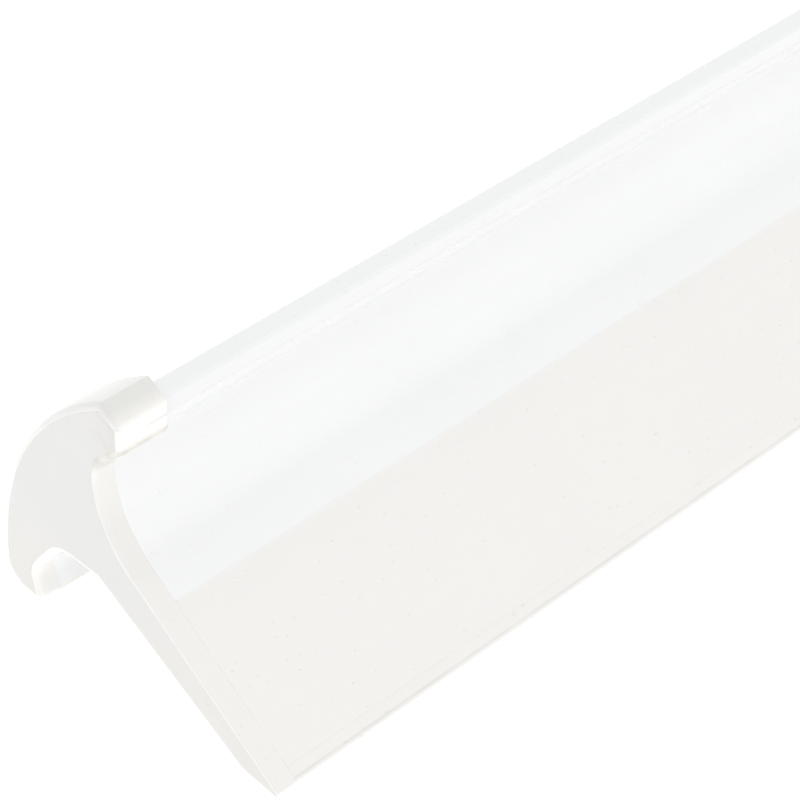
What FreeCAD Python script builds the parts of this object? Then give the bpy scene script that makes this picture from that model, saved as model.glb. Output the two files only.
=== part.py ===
import FreeCAD, Part
import math
import os

from FreeCAD import Vector

# Clip-on door sweep: a white weather bar with moulded end caps, modelled lying on its
# back. The plane z = 0 is the face of the door. +X runs along the door, +Y points to the
# top edge of the bar (the hook), -Y to its lower edge (the fin) and +Z away from the
# door. The origin is the middle of the door face. Lengths are in millimetres.

# ---- overall sizes -----------------------------------------------------------------
SWEEP_LENGTH = 914.0        # along the door, over both end caps
SPAN = 48.0                 # up the door, from the hook's back to the fin's lower edge
PROJECTION = 40.0           # from the door face to the top of the nose

# ---- section of the bar, s measured from the hook's back, z from the door -----------
NOSE_TOP_S = 20.7           # top of the nose
BACK_FOOT_Z = 3.0           # height at which the rounded back is square to the door
HOOK_CORNER_R = 3.6         # rounding where the back meets the door
HOOK_FOOT_S = 6.7           # inner edge of the hook's foot
HOOK_TIP_R = 0.9
NOSE_WIDTH = 3.0            # from the top of the nose to its lip
NOSE_DROP = 1.6             # how far the lip lies under the top of the nose
LIP_HEIGHT = 2.85           # front face of the nose lip
LIP_R = 0.9
NECK_S = 18.9               # front of the neck, the deepest place of the drip pocket
POCKET_DROP = 10.2          # from the top of the nose to where the pocket's roof ends
POCKET_HEIGHT = 9.1         # flat part of the neck, before its corners are rounded
POCKET_TOP_R = 5.0
POCKET_FOOT_R = 13.0
POCKET_FOOT_SHARE = 0.76    # most of the neck's flat part that this rounding may take
EDGE_T = 0.9                # thickness of the fin's lower edge
EDGE_ROUND = 0.45           # share of that thickness that each corner's rounding takes
FIN_FOOT = 6.0              # flat under the fin that lies on the door
RECESS_CORNER_S = 18.2      # where the fin's back meets the roof of the recess
RECESS_CORNER_R = 2.4
RECESS_ROOF_Z = 12.2
ROOF_FALL = 0.3             # the roof falls this much towards the hook
RECESS_SHOULDER_S = 11.0    # where the roof turns down into the hook
RECESS_SHOULDER_R = 5.0
HOOK_WALL_S = 5.5           # inner face of the hook
HOOK_WALL_Z = 4.6
HOOK_WALL_R = 4.0

# ---- walls and webs of the extrusion -------------------------------------------------
WALL = 1.6
WEB = 1.2
FIN_WEB_OFFSET = 3.3        # web across the fin's root, from the recess's corner
TONGUE_S = 15.2             # middle of the tongue that the spring clips grip
TONGUE_T = 1.4
SMALLEST_CHAMBER = 2.0      # slivers of hollow under this area, in mm2, stay solid

# ---- soft seals along both edges -----------------------------------------------------
HOOK_SEAL_W = 2.0
HOOK_SEAL_T = 1.0
EDGE_SEAL_W = 1.6

# ---- end caps ------------------------------------------------------------------------
CAP_PLATE = 2.8
CAP_SKIRT = 4.2             # how far the skirt reaches over the bar
CAP_PROUD = 1.0             # how far the skirt stands outside the bar
CAP_LIP_LAP = 1.25          # how far the cap reaches down past the bar's lip
CAP_EDGE_R = 0.8
SKIRT_FIT = 0.1
SPIGOT_LENGTH = 8.0
SPIGOT_FIT = 0.15
SPIGOT_WALL = 1.0
SPIGOT_AREA = 30.0          # least chamber area, in mm2, that takes a spigot

# ---- mounting strip, on the door behind the bar --------------------------------------
STRIP_SETBACK = 14.0        # from each end cap's inner face
STRIP_T = 1.6
STRIP_HOOK_GAP = 2.7        # from the hook's foot to the strip
STRIP_FIN_GAP = 0.8         # under the fin's back, at the strip's lower edge
TAPE_T = 0.8
TAPE_W = 4.0
LIP_T = 1.3
LIP_RISE = 3.2              # upturned edge, above the strip
RIB_RISE = 2.0              # rib that locates the clips, above the strip
HOLE_D = 4.5
HOLE_COUNT = 6
HOLE_END = 90.0             # from the strip's end to its first hole

# ---- spring clips ----------------------------------------------------------------------
CLIP_COUNT = 5
CLIP_W = 24.0
CLIP_T = 0.6
CLIP_END = 50.0             # from the strip's end to the middle of the first clip
CLIP_ROOF_GAP = 3.0         # from the legs' ends to the roof of the recess
CLIP_FLARE_RISE = 2.0       # height of the flared ends, above the crowns
CLIP_FLARE = 1.5            # how far the legs' ends flare out
CLIP_LEAN = 0.5             # the legs lean in this much over their foot
CLIP_FOOT_RISE = 1.6
CLIP_SIDE_GAP = 0.3         # between a clip's base and the strip's lip and rib
GRIP_GAP = 0.25             # each side of the tongue, with the spring relaxed
RIVET_D = 2.4
RIVET_HEAD_D = 4.2
RIVET_HEAD_H = 0.9
RIVET_GAP = 1.1             # from a rivet's head to the tongue

TINY = 1e-4

# ---- worked out from the sizes above -------------------------------------------------
BACK_RISE = PROJECTION - BACK_FOOT_Z
BACK_R = (NOSE_TOP_S ** 2 + BACK_RISE ** 2) / (2 * NOSE_TOP_S)
POCKET_TOP_Z = PROJECTION - POCKET_DROP
POCKET_FOOT_Z = POCKET_TOP_Z - POCKET_HEIGHT
FIN_WEB_S = RECESS_CORNER_S + FIN_WEB_OFFSET
FIN_BACK_SLOPE = (SPAN - FIN_FOOT - RECESS_CORNER_S) / RECESS_ROOF_Z
BAR_LENGTH = SWEEP_LENGTH - 2 * CAP_PLATE
BAR_X = -BAR_LENGTH / 2
STRIP_LENGTH = BAR_LENGTH - 2 * STRIP_SETBACK
STRIP_X = -STRIP_LENGTH / 2
STRIP_TOP_Z = TAPE_T + STRIP_T
STRIP_HOOK_S = HOOK_FOOT_S + STRIP_HOOK_GAP
STRIP_FIN_S = SPAN - FIN_FOOT - (STRIP_TOP_Z + STRIP_FIN_GAP) * FIN_BACK_SLOPE
CLIP_TOP_Z = RECESS_ROOF_Z - CLIP_ROOF_GAP
CLIP_CROWN_Z = CLIP_TOP_Z - CLIP_FLARE_RISE
CLIP_SIDE = TONGUE_S - STRIP_HOOK_S - LIP_T - CLIP_SIDE_GAP
TONGUE_END_Z = STRIP_TOP_Z + CLIP_T + RIVET_HEAD_H + RIVET_GAP
RIB_S = TONGUE_S + CLIP_SIDE + CLIP_SIDE_GAP
HOLE_S = (RIB_S + LIP_T + STRIP_FIN_S - TAPE_W) / 2
HOLE_PITCH = (STRIP_LENGTH - 2 * HOLE_END) / (HOLE_COUNT - 1)
CLIP_PITCH = (STRIP_LENGTH - 2 * CLIP_END) / (CLIP_COUNT - 1)


def at(s, z, x=0.0):
    """Point of the section: s from the hook's back, z from the door."""
    return Vector(x, SPAN / 2 - s, z)


def corner(before, point, after, radius):
    """Start, middle and end of the arc that rounds a corner."""
    u = (before - point).normalize()
    v = (after - point).normalize()
    half = u.getAngle(v) / 2
    reach = radius / math.tan(half)
    centre = point + (u + v).normalize() * (radius / math.sin(half))
    middle = centre + (point - centre).normalize() * radius
    return point + u * reach, middle, point + v * reach


def radius_for_reach(before, point, after, reach):
    """Radius of the rounding that starts at a given distance from its corner."""
    return reach * math.tan((before - point).getAngle(after - point) / 2)


def rounded_path(vertices):
    """Edges through (point, radius) vertices; the first and last stay sharp."""
    edges = []
    start = vertices[0][0]
    for i in range(1, len(vertices) - 1):
        point, radius = vertices[i]
        if radius > 0:
            first, middle, last = corner(vertices[i - 1][0], point, vertices[i + 1][0], radius)
            edges.append(Part.LineSegment(start, first).toShape())
            edges.append(Part.Arc(first, middle, last).toShape())
            start = last
        else:
            edges.append(Part.LineSegment(start, point).toShape())
            start = point
    edges.append(Part.LineSegment(start, vertices[-1][0]).toShape())
    return edges


def block(x, length, s0, s1, z0, z1):
    """Box along X between two section corners."""
    y = SPAN / 2 - s1
    return Part.makeBox(length, s1 - s0, z1 - z0, Vector(x, y, z0))


def arc_between(start, end, centre, radius):
    """Arc of a circle, the short way from start to end."""
    middle = centre + ((start - centre) + (end - centre)).normalize() * radius
    return Part.Arc(start, middle, end).toShape()


def outline(proud, round_edge=True):
    """Face of the section at x = 0; proud is how far back and nose stand outside the bar."""
    inset = CAP_PROUD - proud
    radius = BACK_R - inset
    centre = at(BACK_R, BACK_FOOT_Z)
    top_z = PROJECTION - inset
    top = at(BACK_R - math.sqrt(radius ** 2 - (top_z - BACK_FOOT_Z) ** 2), top_z)
    lip_s = NOSE_TOP_S + NOSE_WIDTH - inset
    lip_z = PROJECTION - NOSE_DROP - inset / 2
    lip_low_z = PROJECTION - NOSE_DROP - LIP_HEIGHT - CAP_LIP_LAP * proud / CAP_PROUD
    reach = math.sqrt((radius - HOOK_CORNER_R) ** 2 - (BACK_FOOT_Z - HOOK_CORNER_R) ** 2)
    corner_centre = at(BACK_R - reach, HOOK_CORNER_R)
    corner_low = at(BACK_R - reach, 0)
    corner_high = centre + (corner_centre - centre).normalize() * radius
    edge_r = EDGE_T * EDGE_ROUND if round_edge else 0.0
    pocket_top = at(NECK_S, POCKET_TOP_Z)
    pocket_foot = at(NECK_S, POCKET_FOOT_Z)
    fin_edge = at(SPAN, EDGE_T)
    most_reach = POCKET_FOOT_SHARE * POCKET_HEIGHT
    foot_r = min(POCKET_FOOT_R, radius_for_reach(pocket_top, pocket_foot, fin_edge, most_reach))
    edges = rounded_path([
        (top, 0.0),
        (at(lip_s, lip_z), LIP_R),
        (at(lip_s, lip_low_z), LIP_R),
        (pocket_top, POCKET_TOP_R),
        (pocket_foot, foot_r),
        (fin_edge, edge_r),
        (at(SPAN, 0), edge_r),
        (at(SPAN - FIN_FOOT, 0), 0.0),
        (at(RECESS_CORNER_S, RECESS_ROOF_Z), RECESS_CORNER_R),
        (at(RECESS_SHOULDER_S, RECESS_ROOF_Z - ROOF_FALL), RECESS_SHOULDER_R),
        (at(HOOK_WALL_S, HOOK_WALL_Z), HOOK_WALL_R),
        (at(HOOK_FOOT_S, 0), HOOK_TIP_R),
        (corner_low, 0.0),
    ])
    edges.append(arc_between(corner_low, corner_high, corner_centre, HOOK_CORNER_R))
    edges.append(arc_between(corner_high, top, centre, radius))
    return Part.Face(Part.Wire(edges))


def end_face(solid):
    """Flat face of a slice at its lowest x."""
    return min(solid.Faces, key=lambda face: (face.CenterOfMass.x, -face.Area))


def run(section, x, length):
    """Section, of one face or several, carried along X from x."""
    start = section.translated(Vector(x - section.Faces[0].CenterOfMass.x, 0, 0))
    return start.extrude(Vector(length, 0, 0))


def chambers():
    """Faces of the hollows inside the bar, from the nose down to the fin."""
    inner = outline(0.0).makeOffset2D(-WALL)
    hollow = run(inner, 0.0, 1.0)
    neck_web = block(0, 1, -SPAN, 2 * SPAN, POCKET_FOOT_Z, POCKET_FOOT_Z + WEB)
    fin_web = block(0, 1, FIN_WEB_S, FIN_WEB_S + WEB, 0, POCKET_FOOT_Z)
    parts = hollow.cut(neck_web).cut(fin_web).Solids
    large = [end_face(part) for part in parts if part.Volume > SMALLEST_CHAMBER]
    return sorted(large, key=lambda face: -face.CenterOfMass.z)


def hook_seal_room(x, length):
    """Space that the soft seal takes under the hook."""
    return block(x, length, HOOK_FOOT_S - HOOK_SEAL_W, HOOK_FOOT_S, 0, HOOK_SEAL_T)


def edge_seal_room(x, length):
    """Space that the soft seal takes along the fin's lower edge."""
    return block(x, length, SPAN - EDGE_SEAL_W, SPAN, 0, 2 * EDGE_SEAL_W)


def cover_profile():
    """Hollow bar with its grip tongue, without the soft edges."""
    bar = run(outline(0.0), BAR_X, BAR_LENGTH)
    for face in chambers():
        bar = bar.cut(run(face, BAR_X, BAR_LENGTH))
    left = TONGUE_S - TONGUE_T / 2
    tongue = block(STRIP_X, STRIP_LENGTH, left, left + TONGUE_T, TONGUE_END_Z, RECESS_ROOF_Z)
    bar = bar.fuse(tongue)
    bar = bar.cut(hook_seal_room(BAR_X, BAR_LENGTH))
    return bar.cut(edge_seal_room(BAR_X, BAR_LENGTH)).removeSplitter()


def hook_seal():
    """Soft strip under the hook, against the door."""
    bar = run(outline(0.0), BAR_X, BAR_LENGTH)
    return bar.common(hook_seal_room(BAR_X, BAR_LENGTH))


def edge_seal():
    """Soft strip along the lower edge of the fin."""
    bar = run(outline(0.0), BAR_X, BAR_LENGTH)
    return bar.common(edge_seal_room(BAR_X, BAR_LENGTH))


def spigot(face, x):
    """Open-ended plug that fits one chamber of the bar."""
    outer = face.makeOffset2D(-SPIGOT_FIT)
    core = face.makeOffset2D(-SPIGOT_FIT - SPIGOT_WALL)
    plug = run(outer, x, SPIGOT_LENGTH)
    return plug.cut(run(core, x, SPIGOT_LENGTH))


def rounded_plate(x):
    """End plate with its outer rim rounded, except round the thin edge of the fin."""
    plate = run(outline(CAP_PROUD, False), x, CAP_PLATE)
    rim = []
    for edge in plate.Edges:
        box = edge.BoundBox
        outer_face = abs(box.XMin - x) < TINY and box.XLength < TINY
        thin = box.ZMax < EDGE_T + TINY and box.YMin < SPAN / 2 - RECESS_CORNER_S
        if outer_face and not thin:
            rim.append(edge)
    return plate.makeFillet(CAP_EDGE_R, rim)


def left_cap():
    """End cap for the left end: plate, skirt over the back and nose, two spigots."""
    x = -SWEEP_LENGTH / 2
    cap = rounded_plate(x)
    sleeve = run(outline(CAP_PROUD), x + CAP_PLATE, CAP_SKIRT)
    room = run(outline(SKIRT_FIT), x + CAP_PLATE, CAP_SKIRT)
    skirt = max(sleeve.cut(room).Solids, key=lambda solid: solid.Volume)
    cap = cap.fuse(skirt)
    for face in chambers():
        if face.Area > SPIGOT_AREA:
            cap = cap.fuse(spigot(face, x + CAP_PLATE))
    return cap.removeSplitter()


def mounting_strip():
    """Extruded strip with one upturned edge, a rib, screw holes and rivet holes."""
    strip = block(STRIP_X, STRIP_LENGTH, STRIP_HOOK_S, STRIP_FIN_S, TAPE_T, STRIP_TOP_Z)
    lip = block(STRIP_X, STRIP_LENGTH, STRIP_HOOK_S, STRIP_HOOK_S + LIP_T, TAPE_T, STRIP_TOP_Z + LIP_RISE)
    rib = block(STRIP_X, STRIP_LENGTH, RIB_S, RIB_S + LIP_T, TAPE_T, STRIP_TOP_Z + RIB_RISE)
    strip = strip.fuse(lip).fuse(rib).removeSplitter()
    for x in hole_places():
        strip = strip.cut(Part.makeCylinder(HOLE_D / 2, STRIP_T, at(HOLE_S, TAPE_T, x)))
    for x in clip_places():
        strip = strip.cut(Part.makeCylinder(RIVET_D / 2, STRIP_T, at(TONGUE_S, TAPE_T, x)))
    return strip


def hole_places():
    """X of each screw hole."""
    return [STRIP_X + HOLE_END + HOLE_PITCH * i for i in range(HOLE_COUNT)]


def clip_places():
    """X of the middle of each spring clip."""
    return [STRIP_X + CLIP_END + CLIP_PITCH * i for i in range(CLIP_COUNT)]


def foam_tape(s):
    """Flat run of adhesive foam between the strip and the door."""
    return block(STRIP_X, STRIP_LENGTH, s, s + TAPE_W, 0, TAPE_T)


def sheet_solid(points, thickness, x, length):
    """Bent sheet along X; points are (s, z) on one side of the sheet."""
    outer = [Vector(0, s, z) for s, z in points]
    normals = []
    for i in range(len(outer) - 1):
        run_along = (outer[i + 1] - outer[i]).normalize()
        normals.append(Vector(0, -run_along.z, run_along.y))
    other = [outer[0] + normals[0] * thickness]
    for i in range(1, len(outer) - 1):
        both = normals[i - 1] + normals[i]
        other.append(outer[i] + both * (2 * thickness / both.Length ** 2))
    other.append(outer[-1] + normals[-1] * thickness)
    loop = outer + other[::-1]
    edges = [at(p.y, p.z) for p in loop]
    wire = Part.makePolygon(edges + [edges[0]])
    return Part.Face(wire).extrude(Vector(length, 0, 0)).translate(Vector(x, 0, 0))


def spring_clip(x):
    """U-shaped spring with two crowned legs that grip the tongue."""
    grip = TONGUE_T / 2 + GRIP_GAP
    half = []
    half.append((0.0, STRIP_TOP_Z))
    half.append((CLIP_SIDE, STRIP_TOP_Z))
    half.append((CLIP_SIDE - CLIP_LEAN, STRIP_TOP_Z + CLIP_FOOT_RISE))
    half.append((grip + CLIP_T, CLIP_CROWN_Z))
    half.append((grip + CLIP_FLARE, CLIP_TOP_Z))
    right = [(TONGUE_S + s, z) for s, z in half]
    left = [(TONGUE_S - s, z) for s, z in half]
    legs = sheet_solid(right, CLIP_T, x - CLIP_W / 2, CLIP_W)
    legs = legs.fuse(sheet_solid(left, -CLIP_T, x - CLIP_W / 2, CLIP_W)).removeSplitter()
    return legs.cut(Part.makeCylinder(RIVET_D / 2, CLIP_T, at(TONGUE_S, STRIP_TOP_Z, x)))


def rivet(x):
    """Rivet through a clip and the strip, set flush underneath."""
    head_z = STRIP_TOP_Z + CLIP_T
    shank = Part.makeCylinder(RIVET_D / 2, head_z - TAPE_T, at(TONGUE_S, TAPE_T, x))
    head = Part.makeCone(RIVET_HEAD_D / 2, RIVET_D / 2, RIVET_HEAD_H, at(TONGUE_S, head_z, x))
    return shank.fuse(head).removeSplitter()


def write(name, shape):
    """One STEP file for one named piece."""
    shape.exportStep("parts/" + name + ".step")
    print(name, len(shape.Solids), shape.isValid(), round(shape.Volume, 1))


def main():
    """Build every piece of the sweep."""
    os.makedirs("parts", exist_ok=True)
    cap = left_cap()
    write("cover_profile", cover_profile())
    write("hook_seal", hook_seal())
    write("edge_seal", edge_seal())
    write("end_cap_left", cap)
    write("end_cap_right", cap.mirror(Vector(0, 0, 0), Vector(1, 0, 0)))
    write("mounting_strip", mounting_strip())
    write("foam_tape_upper", foam_tape(STRIP_HOOK_S))
    write("foam_tape_lower", foam_tape(STRIP_FIN_S - TAPE_W))
    for number, x in enumerate(clip_places(), start=1):
        write("spring_clip_%d" % number, spring_clip(x))
    write("clip_rivets", Part.makeCompound([rivet(x) for x in clip_places()]))


main()
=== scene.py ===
"""Looks of a clip-on door sweep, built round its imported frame.

The sweep is a hollow white bar with a moulded cap on each end. Behind it a mounting strip
carries five spring clips. The frame's axes are: +X along the door, +Y to the bar's top edge
and +Z out of the door, whose face is z = 0. Section sizes are in millimetres: s is measured
from the hook's back towards the fin's lower edge, and z from the door.
"""

import logging
import math
from collections.abc import Sequence
from dataclasses import dataclass, field
from enum import Enum

import bmesh
import bpy
from mathutils import Matrix, Vector


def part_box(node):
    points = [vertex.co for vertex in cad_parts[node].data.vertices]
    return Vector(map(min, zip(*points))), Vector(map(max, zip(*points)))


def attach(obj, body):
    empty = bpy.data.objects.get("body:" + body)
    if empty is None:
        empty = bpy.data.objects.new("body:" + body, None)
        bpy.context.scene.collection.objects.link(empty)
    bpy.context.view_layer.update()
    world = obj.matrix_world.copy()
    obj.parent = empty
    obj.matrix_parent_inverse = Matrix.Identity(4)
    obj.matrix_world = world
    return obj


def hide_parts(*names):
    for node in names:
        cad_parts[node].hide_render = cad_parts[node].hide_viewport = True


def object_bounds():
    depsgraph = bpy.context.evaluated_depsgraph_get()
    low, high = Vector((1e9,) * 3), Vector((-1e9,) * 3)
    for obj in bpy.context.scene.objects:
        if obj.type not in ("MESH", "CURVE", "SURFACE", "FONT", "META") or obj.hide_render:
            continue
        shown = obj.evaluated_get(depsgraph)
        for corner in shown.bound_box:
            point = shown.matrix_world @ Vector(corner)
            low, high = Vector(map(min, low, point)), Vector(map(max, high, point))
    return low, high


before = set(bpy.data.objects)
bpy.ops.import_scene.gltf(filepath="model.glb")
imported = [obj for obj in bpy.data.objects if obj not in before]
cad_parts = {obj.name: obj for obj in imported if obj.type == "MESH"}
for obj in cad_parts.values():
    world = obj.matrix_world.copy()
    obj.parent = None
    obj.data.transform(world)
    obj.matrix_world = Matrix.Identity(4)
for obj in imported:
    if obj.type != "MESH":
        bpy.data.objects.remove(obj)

CAD_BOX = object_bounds()
MM = 0.001
TOUCH = 1e-3  # millimetres under which two places are one
SAME = 1e-6  # millimetres of rounding error
PARALLEL = 1e-9  # cross product under which two lines don't meet
STRAIGHT = math.radians(2.0)  # a smaller turn is no corner
CUT_STEPS = 3  # facets of the rounding at a cut end
FOLD_TRIES, FOLD_EASE = 90, 0.9  # for a ring whose sides turn round
CROSS_TRIES, CROSS_EASE = 30, 0.85  # for a ring that crosses itself
LOG = logging.getLogger("door_sweep")

Value = "Signal | float"


class Body(Enum):
    """Bodies of the frame that the pieces ride on."""

    FIXING = "fixing"
    COVER = "cover"
    LEFT_CAP = "left_cap"
    RIGHT_CAP = "right_cap"


class Slot(Enum):
    """Material slots of the record, which the pieces made here don't take."""

    UPVC = "white_upvc"
    SOFT_PVC = "soft_white_pvc"
    CAP = "cap_plastic"
    FOAM = "foam"
    SPRING = "spring_steel"
    RIVET = "rivet_aluminium"


# ---- shader maths --------------------------------------------------------------------------


class Signal:
    """One output socket, so that shader maths reads as a Python expression."""

    def __init__(self, pad: "Pad", socket: bpy.types.NodeSocket) -> None:
        """Wrap a socket of the pad's tree."""
        self.pad = pad
        self.socket = socket

    def maths(self, operation: str, *values: Value) -> "Signal":
        """Add a Math node.

        Args:
            operation: Blender's name of the operation.
            values: Its values in order, this signal among them.

        Returns:
            The node's result.
        """
        inputs = dict(enumerate(values))
        return self.pad.node("ShaderNodeMath", {"operation": operation}, inputs, 0)

    def __add__(self, other: Value) -> "Signal":
        """Sum."""
        return self.maths("ADD", self, other)

    __radd__ = __add__

    def __sub__(self, other: Value) -> "Signal":
        """Difference."""
        return self.maths("SUBTRACT", self, other)

    def __rsub__(self, other: Value) -> "Signal":
        """Difference from a number."""
        return self.maths("SUBTRACT", other, self)

    def __mul__(self, other: Value) -> "Signal":
        """Product."""
        return self.maths("MULTIPLY", self, other)

    __rmul__ = __mul__

    def __truediv__(self, other: Value) -> "Signal":
        """Quotient."""
        return self.maths("DIVIDE", self, other)

    def at_least(self, other: Value) -> "Signal":
        """The larger of two values."""
        return self.maths("MAXIMUM", self, other)

    def rise(self, low: float, high: float) -> "Signal":
        """Mask that goes smoothly from 0 at low to 1 at high.

        Args:
            low: Value where the mask is 0.
            high: Value where it is 1; it may be under low.

        Returns:
            The mask.
        """
        settings = {"interpolation_type": "SMOOTHSTEP", "clamp": True}
        inputs = {0: self, 1: low, 2: high, 3: 0.0, 4: 1.0}
        return self.pad.node("ShaderNodeMapRange", settings, inputs, 0)


class Pad:
    """A material's node tree while it is being drawn."""

    def __init__(self, name: str) -> None:
        """Start a material with one Principled shader.

        Args:
            name: The material's name.
        """
        self.material = bpy.data.materials.new(name)
        self.material.use_nodes = True
        self.tree = self.material.node_tree
        self.shader = self.tree.nodes["Principled BSDF"]

    def node(
        self,
        kind: str,
        settings: dict[str, object],
        inputs: dict[int | str, object],
        output: int | str,
    ) -> Signal:
        """Add any node.

        Args:
            kind: The node's type.
            settings: Its properties, set first.
            inputs: A value or a signal for each socket, by number or name.
            output: The socket to return.

        Returns:
            That output.
        """
        made = self.tree.nodes.new(kind)
        for name, setting in settings.items():
            setattr(made, name, setting)
        for name, value in inputs.items():
            self.feed(made.inputs[name], value)
        return Signal(self, made.outputs[output])

    def feed(self, socket: bpy.types.NodeSocket, value: object) -> None:
        """Link a signal to a socket, or set the socket's own value.

        Args:
            socket: The socket.
            value: A signal, or a value of the socket's own type.
        """
        if isinstance(value, Signal):
            self.tree.links.new(value.socket, socket)
        else:
            socket.default_value = value

    def set(self, **sockets: object) -> None:
        """Feed the Principled shader; an underscore in a name stands for a space."""
        for name, value in sockets.items():
            self.feed(self.shader.inputs[name.replace("_", " ")], value)

    def place(self) -> Signal:
        """Position on the piece, in metres."""
        return self.node("ShaderNodeTexCoord", {}, {}, "Object")

    def axes(self) -> tuple[Signal, Signal, Signal]:
        """Split the position on the piece.

        Returns:
            Its three coordinates, in metres.
        """
        split = self.tree.nodes.new("ShaderNodeSeparateXYZ")
        self.feed(split.inputs[0], self.place())
        return tuple(Signal(self, split.outputs[i]) for i in range(3))

    def stretched(self, x: float, y: float, z: float) -> Signal:
        """Position with each axis multiplied, for grain that runs one way."""
        inputs = {0: self.place(), 1: (x, y, z)}
        return self.node("ShaderNodeVectorMath", {"operation": "MULTIPLY"}, inputs, 0)

    def noise(self, per_metre: float, where: Signal | None = None, detail: float = 2.0) -> Signal:
        """Soft random field from 0 to 1.

        Args:
            per_metre: How many lumps fit in a metre of the position.
            where: Position, or None for the plain one.
            detail: Number of finer layers.

        Returns:
            The field.
        """
        where = where or self.place()
        inputs = {"Vector": where, "Scale": per_metre, "Detail": detail}
        return self.node("ShaderNodeTexNoise", {}, inputs, "Fac")

    def cells(self, per_metre: float, where: Signal | None = None) -> Signal:
        """Distance to the nearest of many scattered points, in cells."""
        inputs = {"Vector": where or self.place(), "Scale": per_metre}
        return self.node("ShaderNodeTexVoronoi", {}, inputs, "Distance")

    def specks(self, per_metre: float, size: float, share: float) -> Signal:
        """Mask of small scattered specks.

        Args:
            per_metre: Cells in a metre, each of which can hold one speck.
            size: Radius of a speck, in cells.
            share: About what share of the surface has specks at all.

        Returns:
            1 on a speck and 0 elsewhere.
        """
        spot = self.cells(per_metre).rise(size, size * 0.45)
        patch = self.noise(per_metre * 0.37).rise(0.62 - share, 0.66 - share)
        return spot * patch

    def blend(self, mask: Value, first: object, second: object) -> Signal:
        """Colour that goes from the first to the second as the mask rises."""
        inputs = {0: mask, 6: first, 7: second}
        return self.node("ShaderNodeMix", {"data_type": "RGBA"}, inputs, 2)

    def bump(self, height: Signal, depth: float, under: Signal | None = None) -> Signal:
        """Normal of a height field.

        Args:
            height: The field, from 0 to 1.
            depth: Its full height in metres.
            under: Another bump that this one lies on.

        Returns:
            The normal.
        """
        inputs = {"Height": height, "Distance": depth, "Strength": 1.0}
        if under is not None:
            inputs["Normal"] = under
        return self.node("ShaderNodeBump", {}, inputs, 0)


def rgb(red: float, green: float, blue: float) -> tuple[float, float, float, float]:
    """Opaque colour of a socket."""
    return (red, green, blue, 1.0)


def shade(colour: tuple[float, ...], by: float) -> tuple[float, float, float, float]:
    """The same colour, lighter or darker."""
    return rgb(*(channel * by for channel in colour[:3]))


# ---- finishes ------------------------------------------------------------------------------


@dataclass(frozen=True)
class GlossUpvc:
    """White extruded uPVC: a glossy skin that ends at a line on the fin, and satin below it.

    The glossy skin is painted in bands by height: painted shade on the neck, darker painted
    shade on the lip and a cool painted shade on the top of the nose. A pair of heights says
    where a tone starts and where it is full, in metres from the door.
    """

    colour: tuple[float, float, float, float] = rgb(0.905, 0.907, 0.91)
    # neck: painted shade on the bar's neck band
    neck: tuple[float, float, float, float] = rgb(0.835, 0.836, 0.84)
    # lip: darker painted shade on the lip's front
    lip: tuple[float, float, float, float] = rgb(0.775, 0.777, 0.778)
    # nose: cool painted shade on the top of the nose
    nose: tuple[float, float, float, float] = rgb(0.85, 0.867, 0.861)
    lower: tuple[float, float, float, float] = rgb(0.878, 0.866, 0.842)
    dust: tuple[float, float, float, float] = rgb(0.6, 0.57, 0.5)
    roughness: float = 0.14
    lower_roughness: float = 0.27
    neck_shade_z: tuple[float, float] = (0.019, 0.027)
    lip_z: tuple[float, float] = (0.0345, 0.0355)
    nose_z: tuple[float, float] = (0.0376, 0.0381)
    front_depth: float = 0.0004
    skin_end_s: float = 28.3
    skin_fade: float = 0.22
    skin_wander: float = 0.5

    def satin_mask(self, pad: Pad) -> Signal:
        """Mask of the satin part of the fin, whose edge wanders a little.

        Args:
            pad: The material being drawn.

        Returns:
            1 on the satin part and 0 on the glossy skin.
        """
        _, y, z = pad.axes()
        s = SECTION.span / 2 - y / MM
        edge = (pad.noise(1.0, pad.stretched(38.0, 0.0, 0.0)) - 0.5) * self.skin_wander
        roof = SECTION.recess_roof_z * MM
        behind = roof * (SECTION.span - s) / (SECTION.span - SECTION.recess_corner_s)
        front = (z - behind).rise(0.0, self.front_depth)
        start, end = self.skin_end_s - self.skin_fade, self.skin_end_s + self.skin_fade
        return (s + edge).rise(start, end) * front

    def make(self) -> bpy.types.Material:
        """Draw the finish.

        Returns:
            The material.
        """
        pad = Pad("gloss_upvc")
        satin = self.satin_mask(pad)
        lines = pad.noise(1.0, pad.stretched(1.5, 1700.0, 1700.0), 3.0)
        broad = pad.noise(14.0, pad.stretched(0.4, 1.0, 1.0))
        clouds = pad.noise(55.0)
        specks = pad.specks(900.0, 0.13, 0.14).at_least(pad.specks(420.0, 0.07, 0.08))
        height = pad.axes()[2]
        # painted shade on the neck band
        skin = pad.blend(height.rise(*self.neck_shade_z), self.colour, self.neck)
        # darker painted shade on the lip's front
        skin = pad.blend(height.rise(*self.lip_z), skin, self.lip)
        # cool painted shade on the top of the nose
        skin = pad.blend(height.rise(*self.nose_z), skin, self.nose)
        skin = pad.blend(satin, skin, self.lower)
        tone = pad.blend(clouds.rise(0.3, 0.75) * 0.02, skin, rgb(0.5, 0.5, 0.5))
        tone = pad.blend(lines.rise(0.35, 0.8) * 0.012, tone, rgb(0.4, 0.4, 0.4))
        tone = pad.blend(specks * (satin * 0.2 + 0.06), tone, self.dust)
        waves = pad.bump(broad, 0.00018)
        drawn = pad.bump(lines, 0.0000012, waves)
        rough = satin * (self.lower_roughness - self.roughness) + self.roughness
        pad.set(
            Base_Color=tone,
            Roughness=rough + lines * 0.03 + specks * 0.3 + clouds * 0.02,
            Normal=pad.bump(specks, 0.00003, drawn),
            IOR=1.5,
        )
        return pad.material


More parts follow.
